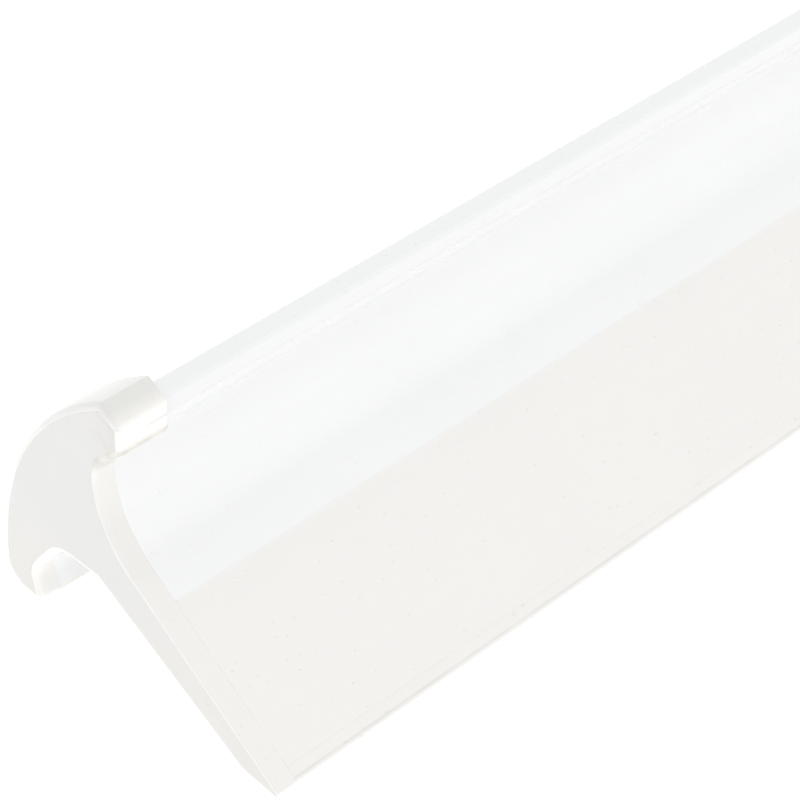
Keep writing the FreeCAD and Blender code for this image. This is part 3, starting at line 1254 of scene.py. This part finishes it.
@dataclass
class EndCap:
    """Moulded cap: rounded plate, skirt over the bar's back and nose, and spigots."""

    rim_r: float = 0.8
    fin_rim_r: float = 0.45
    edge_rim_r: float = 0.26
    edge_reach: float = 2.0
    rim_share: float = 0.42
    rim_steps: int = 6
    rim_rounds: int = 4
    flat_rounds: int = 6
    flat_share: float = 0.3
    least_web: float = 0.1
    neck_margin: float = 1.0
    heel_z: float = 0.5
    skirt_reach: float = 4.2
    skirt_fit: float = 0.1
    skirt_round: float = 0.34
    groove_depth: float = 0.2
    skirt_least: float = 0.22
    skirt_soft_share: float = 0.3
    pocket_margin: float = 1.0
    hook_margin: float = 2.2
    hook_clear_z: float = 1.0
    rim_width: float = 1.6
    spigot_round: float = 0.15

    def build(self) -> list[bpy.types.Object]:
        """Make both caps, the right one as the mirror of the left.

        Returns:
            The pieces.
        """
        satin = SatinCap().make()
        left = self.left()
        right = self.mirrored(left, "right_end_cap")
        dress(left, satin, Body.LEFT_CAP)
        dress(right, satin, Body.RIGHT_CAP)
        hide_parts("end_cap_left")
        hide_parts("end_cap_right")
        return [left, right]

    def thickness(self, outline: Sequence[Vector]) -> list[float]:
        """Depth of solid behind each point of an outline.

        Args:
            outline: Closed outline, with the solid on its right-hand side in (s, z).

        Returns:
            A depth for each point, at most twice the rim's width.
        """
        inner = inward(outline, [1.0] * len(outline))
        depths = []
        for i, point in enumerate(outline):
            into = (inner[i] - point).normalized()
            depth = 2 * self.rim_width
            for j in range(len(outline)):
                a, b = outline[j - 1], outline[j]
                across = into.x * (b - a).y - into.y * (b - a).x
                if abs(across) < PARALLEL:
                    continue
                gap = a - point
                along = (gap.x * (b - a).y - gap.y * (b - a).x) / across
                share = (gap.x * into.y - gap.y * into.x) / across
                if TOUCH < along < depth and 0.0 <= share <= 1.0:
                    depth = along
            depths.append(depth)
        return depths

    def widest_rim(self, point: Vector) -> float:
        """Largest radius that the rim may have at a place of the outline.

        Args:
            point: The place (s, z).

        Returns:
            The radius.
        """
        if point.x > SECTION.span - self.edge_reach and point.y < self.edge_reach:
            return self.edge_rim_r
        below_pocket = SECTION.recess_roof_z < point.y < SECTION.pocket_top_z
        on_neck = point.x > SECTION.neck_s - self.neck_margin and below_pocket
        on_fin = point.x > SECTION.nose_top_s + SECTION.nose_width and point.y > self.heel_z
        return self.fin_rim_r if on_neck or on_fin else self.rim_r

    def left(self) -> bpy.types.Object:
        """Cap of the left end.

        Returns:
            The cap.
        """
        low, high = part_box("end_cap_left")
        face_x, root_x = low.x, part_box("cover_profile")[0].x
        skirt_x = root_x + self.skirt_reach * MM
        outline = SECTION.cap_outline()
        depth = self.thickness(outline)
        widest = [self.widest_rim(point) for point in outline]
        rims = [min(most, self.rim_share * d) for most, d in zip(widest, depth)]
        rims = uncrossed(outline, smoothed(rims, self.rim_rounds))
        rim_ring = inward(outline, rims)
        webs = [max(self.least_web, d - 2 * r) for r, d in zip(rims, depth)]
        reach = [min(self.rim_width, self.flat_share * web) for web in webs]
        flat = inward(rim_ring, uncrossed(rim_ring, smoothed(reach, self.flat_rounds)))
        mesher = Mesher()
        rim_layer = mesher.bm.verts.layers.float.new("rim")
        rings = [mesher.section_ring(face_x, flat)]
        for i in range(self.rim_steps + 1):
            angle = math.pi / 2 * i / self.rim_steps
            places = inward(outline, [r * (1 - math.sin(angle)) for r in rims])
            stations = [face_x + r * MM * (1 - math.cos(angle)) for r in rims]
            rings.append(mesher.ring([point3(x, place) for x, place in zip(stations, places)]))
        root = mesher.section_ring(root_x, outline)
        rings.append(root)
        mark(rings[1:], rim_layer)
        mesher.chain(rings)
        mesher.fill(rings[0])
        back = self.skirt(mesher, outline, root, root_x, skirt_x, rim_layer)
        self.spigots(mesher, back, root_x, high.x)
        return mesher.finish("left_end_cap")

    def skirt(
        self,
        mesher: Mesher,
        outline: Sequence[Vector],
        root: list[bmesh.types.BMVert],
        root_x: float,
        skirt_x: float,
        rim_layer: bmesh.types.BMLayerItem,
    ) -> list[bmesh.types.BMVert]:
        """Skirt that carries the plate's rim on over the bar.

        Args:
            mesher: The cap's mesh.
            outline: The cap's outline.
            root: Ring of the plate at the bar's end.
            root_x: X of that ring, in metres.
            skirt_x: X of the skirt's end.
            rim_layer: Vertex layer that marks the rim.

        Returns:
            Ring round the plate's inner face.
        """
        bar = SECTION.bar_outline()
        gaps = [distance_to(point, bar) - self.skirt_fit for point in outline]
        hook_s = SECTION.hook_foot_s - self.hook_margin
        pocket_s = SECTION.nose_top_s + SECTION.nose_width + self.pocket_margin
        covered = [
            gap > self.skirt_least
            and not (point.y < self.hook_clear_z and point.x > hook_s)
            and point.x <= pocket_s
            for gap, point in zip(gaps, outline)
        ]
        count = len(outline)
        first = next(i for i in range(count) if covered[i] and not covered[i - 1])
        span = []
        while covered[(first + len(span)) % count] and len(span) < count:
            span.append((first + len(span)) % count)
        inner_all = inward(outline, [max(gap, 0.0) for gap in gaps])
        grooved = list(outline)
        for i, point in enumerate(outline):
            if abs(point.y - SECTION.groove_z) < SAME and point.x > SECTION.nose_top_s:
                grooved[i] = point - Vector((self.groove_depth, 0.0))
        outer_all = inward(grooved, [self.skirt_round] * count)
        lips = [max(gap - self.skirt_round, self.skirt_round / 2) for gap in gaps]
        round_x = skirt_x - self.skirt_round * MM
        soft = self.skirt_soft_share * self.skirt_round
        stations = (
            (round_x, grooved),
            (skirt_x - soft * MM, inward(grooved, [soft] * count)),
            (skirt_x, outer_all),
            (skirt_x, inward(outline, lips)),
            (round_x, inner_all),
            (root_x, inner_all),
        )
        layers = [[root[i] for i in span]]
        for x, places in stations:
            layers.append(mesher.section_ring(x, [places[i] for i in span]))
        mark(layers[1:], rim_layer)
        mesher.chain(layers, closed=False)
        for end in (0, -1):
            mesher.bm.faces.new([layer[end] for layer in layers])
        inside = dict(zip(span, layers[-1]))
        ring = []
        for i in range(count):
            if i not in inside:
                ring.append(root[i])
                continue
            if i == span[0]:
                ring.append(root[i])
            ring.append(inside[i])
            if i == span[-1]:
                ring.append(root[i])
        return ring

    def spigots(
        self, mesher: Mesher, back: list[bmesh.types.BMVert], root_x: float, end_x: float
    ) -> None:
        """Hollow plugs on the plate's inner face, one for each large chamber.

        Args:
            mesher: The cap's mesh.
            back: Ring round the plate's inner face.
            root_x: X of that face, in metres.
            end_x: X of the plugs' ends.
        """
        holes = []
        for outer, core in pair_up(flat_loops("end_cap_left", end_x)):
            outside = oriented(outer, False)
            inside = oriented(core, True)
            round_x = end_x - self.spigot_round * MM
            foot = mesher.section_ring(root_x, outside)
            shoulder = mesher.section_ring(round_x, outside)
            lip = mesher.section_ring(end_x, inward(outside, [self.spigot_round] * len(outside)))
            core_lip = mesher.section_ring(end_x, inside)
            core_foot = mesher.section_ring(root_x, inside)
            mesher.join(foot, shoulder)
            mesher.join(shoulder, lip)
            mesher.fill(lip, core_lip)
            mesher.join(core_lip, core_foot)
            mesher.fill(core_foot)
            holes.append(foot)
        mesher.fill(back, *holes)

    def mirrored(self, cap: bpy.types.Object, name: str) -> bpy.types.Object:
        """The other end's cap.

        Args:
            cap: The left cap, before it rides on anything.
            name: Name of the new piece.

        Returns:
            The mirrored cap.
        """
        mesh = cap.data.copy()
        mesh.name = name
        mesh.transform(Matrix.Scale(-1.0, 4, (1.0, 0.0, 0.0)))
        mesh.flip_normals()
        return evenly_shaded(name, mesh)


def mark(
    rings: Sequence[Sequence[bmesh.types.BMVert]], layer: bmesh.types.BMLayerItem
) -> None:
    """Set a vertex layer to 1 on some rings."""
    for vert in (vert for ring in rings for vert in ring):
        vert[layer] = 1.0


def distance_to(point: Vector, loop: Sequence[Vector]) -> float:
    """Least distance from a point to a closed outline.

    Args:
        point: The point.
        loop: The outline.

    Returns:
        The distance.
    """
    best = math.inf
    for i in range(len(loop)):
        a, b = loop[i - 1], loop[i]
        length = (b - a).length_squared
        share = 0.0 if length == 0 else max(0.0, min(1.0, (point - a).dot(b - a) / length))
        best = min(best, (a + (b - a) * share - point).length)
    return best


def smoothed(values: Sequence[float], rounds: int) -> list[float]:
    """Values of a closed ring, lowered towards the mean of their neighbours.

    Args:
        values: The values.
        rounds: How many times they are lowered.

    Returns:
        The smoothed values, none larger than it was.
    """
    values = list(values)
    for _ in range(rounds):
        values = [
            min(values[i], (values[i - 1] + 2 * values[i] + values[(i + 1) % len(values)]) / 4)
            for i in range(len(values))
        ]
    return values


def pair_up(loops: Sequence[Sequence[Vector]]) -> list[tuple[list[Vector], list[Vector]]]:
    """Pair each outer loop with the loop inside it, by their middles.

    Args:
        loops: The loops, the longest first.

    Returns:
        Each outer loop with its inner one.
    """

    def middle(loop: Sequence[Vector]) -> Vector:
        """Mean of a loop's points."""
        return sum(loop, Vector((0.0, 0.0))) / len(loop)

    left = list(loops)
    pairs = []
    while len(left) > 1:
        outer = left.pop(0)
        core = min(left, key=lambda loop: (middle(loop) - middle(outer)).length)
        left.remove(core)
        pairs.append((list(outer), list(core)))
    return pairs


@dataclass
class Fixing:
    """Mounting strip on its foam tapes, with spring clips and rivets."""

    strip_bevel: float = 0.12
    clip_bend: float = 0.5
    clip_end_round: float = 0.2
    sheet_end: float = 0.9
    cut_round: float = 0.08
    tape_bulge: float = 0.12
    tape_wave: float = 0.05
    tape_stations: int = 90
    bulge_steps: int = 8
    bulge_power: float = 0.7
    rivet_turns: int = 40
    shank_share: float = 4 / 7
    head_height: float = 0.9
    head_under: float = 0.97
    head_edge: float = 0.25
    dome_steps: int = 8

    def build(self) -> list[bpy.types.Object]:
        """Make every piece behind the bar.

        Returns:
            The pieces.
        """
        mill, spring, rivet = (
            DrawnMetal(name, colour, roughness, tarnish).make()
            for name, colour, roughness, tarnish in (
                ("mill_aluminium", rgb(0.8, 0.81, 0.82), 0.3, rgb(0.66, 0.66, 0.65)),
                ("spring_steel", rgb(0.62, 0.61, 0.59), 0.22, rgb(0.5, 0.47, 0.43)),
                ("rivet_aluminium", rgb(0.74, 0.75, 0.76), 0.26, rgb(0.6, 0.6, 0.6)),
            )
        )
        foam = FoamTape().make()
        made = [self.strip(mill)]
        for side in ("upper", "lower"):
            tape = dress(self.tape(side), foam, Body.FIXING)
            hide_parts(f"foam_tape_{side}")
            made.append(tape)
        clips = sorted(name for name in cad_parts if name.startswith("spring_clip"))
        for name in clips:
            clip = dress(self.clip(name), spring, Body.FIXING)
            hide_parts(name)
            made.append(clip)
        rivets = dress(self.rivets(clips), rivet, Body.FIXING)
        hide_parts("clip_rivets")
        return [*made, rivets]

    def strip(self, finish: bpy.types.Material) -> bpy.types.Object:
        """The mounting strip, which keeps its CAD shape and slot with its edges softened.

        Args:
            finish: Its material.

        Returns:
            The strip's CAD node.
        """
        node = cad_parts["mounting_strip"]
        node.data.materials.clear()
        node.data.materials.append(finish)
        softened = node.modifiers.new("softened_edges", "BEVEL")
        softened.width = self.strip_bevel * MM
        softened.segments = 2
        softened.limit_method = "ANGLE"
        LOG.info("mounting_strip keeps its CAD shape")
        return node

    def tape(self, side: str) -> bpy.types.Object:
        """Foam squeezed between the strip and the door, with sides that bulge unevenly.

        Args:
            side: upper or lower, as in the node's name.

        Returns:
            The tape.
        """
        low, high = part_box(f"foam_tape_{side}")
        near_s, far_s = SECTION.span / 2 - high.y / MM, SECTION.span / 2 - low.y / MM
        mesher = Mesher()
        rings = []
        for i in range(self.tape_stations + 1):
            share = i / self.tape_stations
            wave = self.tape_wave * math.sin(share * 61.0) * math.sin(share * 23.0 + 1.7)
            near = self.bulge(near_s, -1.0, self.tape_bulge + wave, high.z / MM)
            far = self.bulge(far_s, 1.0, self.tape_bulge - wave, high.z / MM)
            places = near + far[::-1]
            rings.append(mesher.section_ring(low.x + (high.x - low.x) * share, places))
        mesher.chain(rings)
        mesher.fill(rings[0])
        mesher.fill(rings[-1])
        return mesher.finish(f"{side}_foam_tape")

    def bulge(self, edge_s: float, outward: float, reach: float, top: float) -> list[Vector]:
        """Bulged side of a tape, from the door up to the strip.

        Args:
            edge_s: Where the side is when it is flat.
            outward: 1 or -1, the way that it bulges along s.
            reach: How far it bulges.
            top: The tape's thickness.

        Returns:
            Its points.
        """
        shares = [i / self.bulge_steps for i in range(self.bulge_steps + 1)]
        reaches = [outward * reach * math.sin(math.pi * t) ** self.bulge_power for t in shares]
        return [Vector((edge_s + out, top * t)) for out, t in zip(reaches, shares)]

    def clip(self, name: str) -> bpy.types.Object:
        """Spring bent from sheet, with its bends rounded.

        Args:
            name: The clip's CAD node.

        Returns:
            The clip.
        """
        low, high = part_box(name)
        loop = oriented(straightened(flat_loops(name, low.x)[0]), False)
        corners = []
        for i, place in enumerate(loop):
            before = (place - loop[i - 1]).length
            after = (loop[(i + 1) % len(loop)] - place).length
            at_end = min(before, after) < self.sheet_end
            bend = self.clip_end_round if at_end else self.clip_bend
            corners.append(Corner(place.x, place.y, bend))
        mesher = Mesher()
        path = Tracer(turn=math.radians(12.0)).path(corners, closed=True)
        for ring in run_rings(mesher, path, low.x, high.x, self.cut_round):
            mesher.fill(ring)
        return mesher.finish(name.replace("spring_clip", "bent_clip"))

    def rivets(self, clips: Sequence[str]) -> bpy.types.Object:
        """Domed rivets, one through the middle of each clip, as one piece.

        Args:
            clips: The clips' CAD nodes.

        Returns:
            The rivets.
        """
        low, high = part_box("clip_rivets")
        head_r = (high.y - low.y) / 2
        shank_r = head_r * self.shank_share
        seat_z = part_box("mounting_strip")[0].z + (high.z - low.z) - self.head_height * MM
        crown = high.z - seat_z
        mesher = Mesher()
        for name in clips:
            clip_low, clip_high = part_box(name)
            middle = Vector(((clip_low.x + clip_high.x) / 2, (low.y + high.y) / 2, 0.0))
            profile = [(shank_r, low.z), (shank_r, seat_z), (head_r * self.head_under, seat_z)]
            for i in range(self.dome_steps):
                angle = math.pi / 2 * i / self.dome_steps
                up = self.head_edge + (1 - self.head_edge) * math.sin(angle)
                profile.append((head_r * math.cos(angle), seat_z + crown * up))
            self.turned(mesher, middle, profile, high.z)
        return mesher.finish("domed_clip_rivets")

    def turned(
        self, mesher: Mesher, middle: Vector, profile: Sequence[tuple[float, float]], top: float
    ) -> None:
        """Add a solid of revolution about a line along Z.

        Args:
            mesher: The mesh to add to.
            middle: Where the line meets the door.
            profile: Radius and height of each ring, from the bottom up.
            top: Height of the point that closes it.
        """
        rings = []
        for radius, height in profile:
            angles = (2 * math.pi * i / self.rivet_turns for i in range(self.rivet_turns))
            hub = middle + Vector((0.0, 0.0, height))
            points = [hub + Vector((math.cos(a), math.sin(a), 0.0)) * radius for a in angles]
            rings.append(mesher.ring(points))
        mesher.chain(rings)
        mesher.bm.faces.new(rings[0])
        peak = mesher.bm.verts.new((middle.x, middle.y, top))
        last = rings[-1]
        for i in range(len(last)):
            mesher.bm.faces.new((last[i - 1], last[i], peak))


def straightened(loop: Sequence[Vector]) -> list[Vector]:
    """The loop without the points that lie on a straight run or repeat another.

    Args:
        loop: Closed outline.

    Returns:
        Its corners.
    """
    kept = []
    for i, place in enumerate(loop):
        before = place - loop[i - 1]
        after = loop[(i + 1) % len(loop)] - place
        apart = min(before.length, after.length) > TOUCH
        if apart and before.angle(after) > STRAIGHT:
            kept.append(place)
    return kept


# ---- studio --------------------------------------------------------------------------------


@dataclass(frozen=True)
class SoftLight:
    """Large soft light that faces the near end of the bar.

    The place is counted from the near cap's lower corner on the door, and the sizes are in
    metres.
    """

    name: str
    place: tuple[float, float, float]
    size: tuple[float, float]
    radiance: float
    colour: tuple[float, float, float] = (1.0, 1.0, 1.0)

    def build(self, corner: Vector) -> bpy.types.Object:
        """Make the light.

        Args:
            corner: The near cap's lower corner on the door.

        Returns:
            The light, which the camera doesn't see.
        """
        data = bpy.data.lights.new(self.name, "AREA")
        data.shape = "RECTANGLE"
        data.size, data.size_y = self.size
        data.color = self.colour
        data.energy = self.radiance * math.pi * data.size * data.size_y
        light = bpy.data.objects.new(self.name, data)
        away = Vector(self.place)
        light.rotation_mode = "QUATERNION"
        light.rotation_quaternion = away.to_track_quat("Z", "Y")
        light.location = corner + away
        light.visible_camera = False
        bpy.context.scene.collection.objects.link(light)
        return light


@dataclass
class Studio:
    """Pale floor, soft white light and the camera.

    The camera's place is counted from the near cap's lower corner on the door, in metres, and
    its angles are in degrees.
    """

    stand_off: tuple[float, float, float] = (-0.13221, -0.15399, 0.23304)
    azimuth: float = -44.236
    elevation: float = 40.828
    roll: float = -0.777
    lens: float = 126.0
    sensor: float = 36.0
    floor_size: float = 16.0
    floor_drop: float = 0.0001
    floor_glow: float = 0.6
    sky: float = 0.78
    glare_s: float = 28.3
    softbox_away: float = 1.5
    softbox_size: tuple[float, float] = (3.4, 2.1)
    softbox_shift: float = 0.3
    softbox_radiance: float = 0.35
    sky_colour: tuple[float, float, float, float] = rgb(0.994, 0.998, 1.0)
    fills: tuple[SoftLight, ...] = (
        SoftLight("front_fill", (0.25, -1.3, 0.5), (2.0, 1.0), 0.4),
    )

    def build(self) -> None:
        """Make the floor, the lights and the camera."""
        self.floor()
        self.world()
        self.overhead(self.camera())
        for fill in self.fills:
            fill.build(CAD_BOX[0])
        bpy.context.scene.view_settings.view_transform = "Standard"

    def floor(self) -> None:
        """Plain pale floor."""
        mesher = Mesher()
        half = self.floor_size / 2
        corners = [(-half, -half), (half, -half), (half, half), (-half, half)]
        ring = mesher.ring([Vector((x, y, CAD_BOX[0].z - self.floor_drop)) for x, y in corners])
        mesher.fill(ring)
        floor = mesher.finish("floor")
        pad = Pad("pale_floor")
        pad.set(
            Base_Color=rgb(0.9, 0.9, 0.9),
            Roughness=0.9,
            Emission_Color=rgb(1.0, 1.0, 1.0),
            Emission_Strength=self.floor_glow,
        )
        floor.data.materials.append(pad.material)

    def world(self) -> None:
        """Even white light from all round."""
        world = bpy.data.worlds.new("white_room")
        bpy.context.scene.world = world
        world.use_nodes = True
        background = world.node_tree.nodes["Background"]
        background.inputs["Color"].default_value = self.sky_colour
        background.inputs["Strength"].default_value = self.sky

    def camera(self) -> Vector:
        """Camera in front of the near cap.

        Returns:
            Where the camera stands.
        """
        data = bpy.data.cameras.new("camera")
        data.lens = self.lens
        data.sensor_width = self.sensor
        data.clip_start = 0.02
        data.clip_end = 60.0
        camera = bpy.data.objects.new("camera", data)
        bpy.context.scene.collection.objects.link(camera)
        turn, rise = math.radians(self.azimuth), math.radians(self.elevation)
        flat = Vector((math.sin(turn), -math.cos(turn), 0.0)) * math.cos(rise)
        back = flat + Vector((0.0, 0.0, math.sin(rise)))
        level = Vector((0.0, 0.0, 1.0)).cross(back).normalized()
        upright = back.cross(level)
        roll = math.radians(self.roll)
        right = level * math.cos(roll) - upright * math.sin(roll)
        up = back.cross(right)
        place = CAD_BOX[0] + Vector(self.stand_off)
        columns = Matrix((right, up, back)).transposed().to_4x4()
        camera.matrix_world = Matrix.Translation(place) @ columns
        bpy.context.scene.camera = camera
        return place

    def overhead(self, eye: Vector) -> None:
        """Large soft light whose mirror image in the fin ends at the glare's lower edge.

        Args:
            eye: Where the camera stands.
        """
        foot, edge = SECTION.pocket_foot, SECTION.fin_edge
        line = point3(0.0, Vector((self.glare_s, SECTION.fin_front(self.glare_s))))
        along = point3(0.0, edge) - point3(0.0, foot)
        normal = Vector((0.0, along.z, -along.y)).normalized()
        image = eye - normal * (2 * (eye - line).dot(normal))
        ray = Vector((0.0, line.y - image.y, line.z - image.z)).normalized()
        rim = Vector((eye.x, line.y, line.z)) + ray * self.softbox_away
        wide, deep = self.softbox_size
        away = rim + Vector((wide * self.softbox_shift, deep / 2, 0.0)) - CAD_BOX[0]
        softbox = SoftLight(
            "overhead_softbox", tuple(away), self.softbox_size, self.softbox_radiance
        )
        softbox.build(CAD_BOX[0]).rotation_quaternion = (1.0, 0.0, 0.0, 0.0)


SECTION = SweepSection.from_frame()


def main() -> None:
    """Build the sweep and its studio."""
    logging.basicConfig(level=logging.INFO, format="%(message)s")
    for part in (Cover(), EndCap(), Fixing()):
        pieces = part.build()
        LOG.info("%s: %d pieces", type(part).__name__, len(pieces))
    Studio().build()


if __name__ == "__main__":
    main()
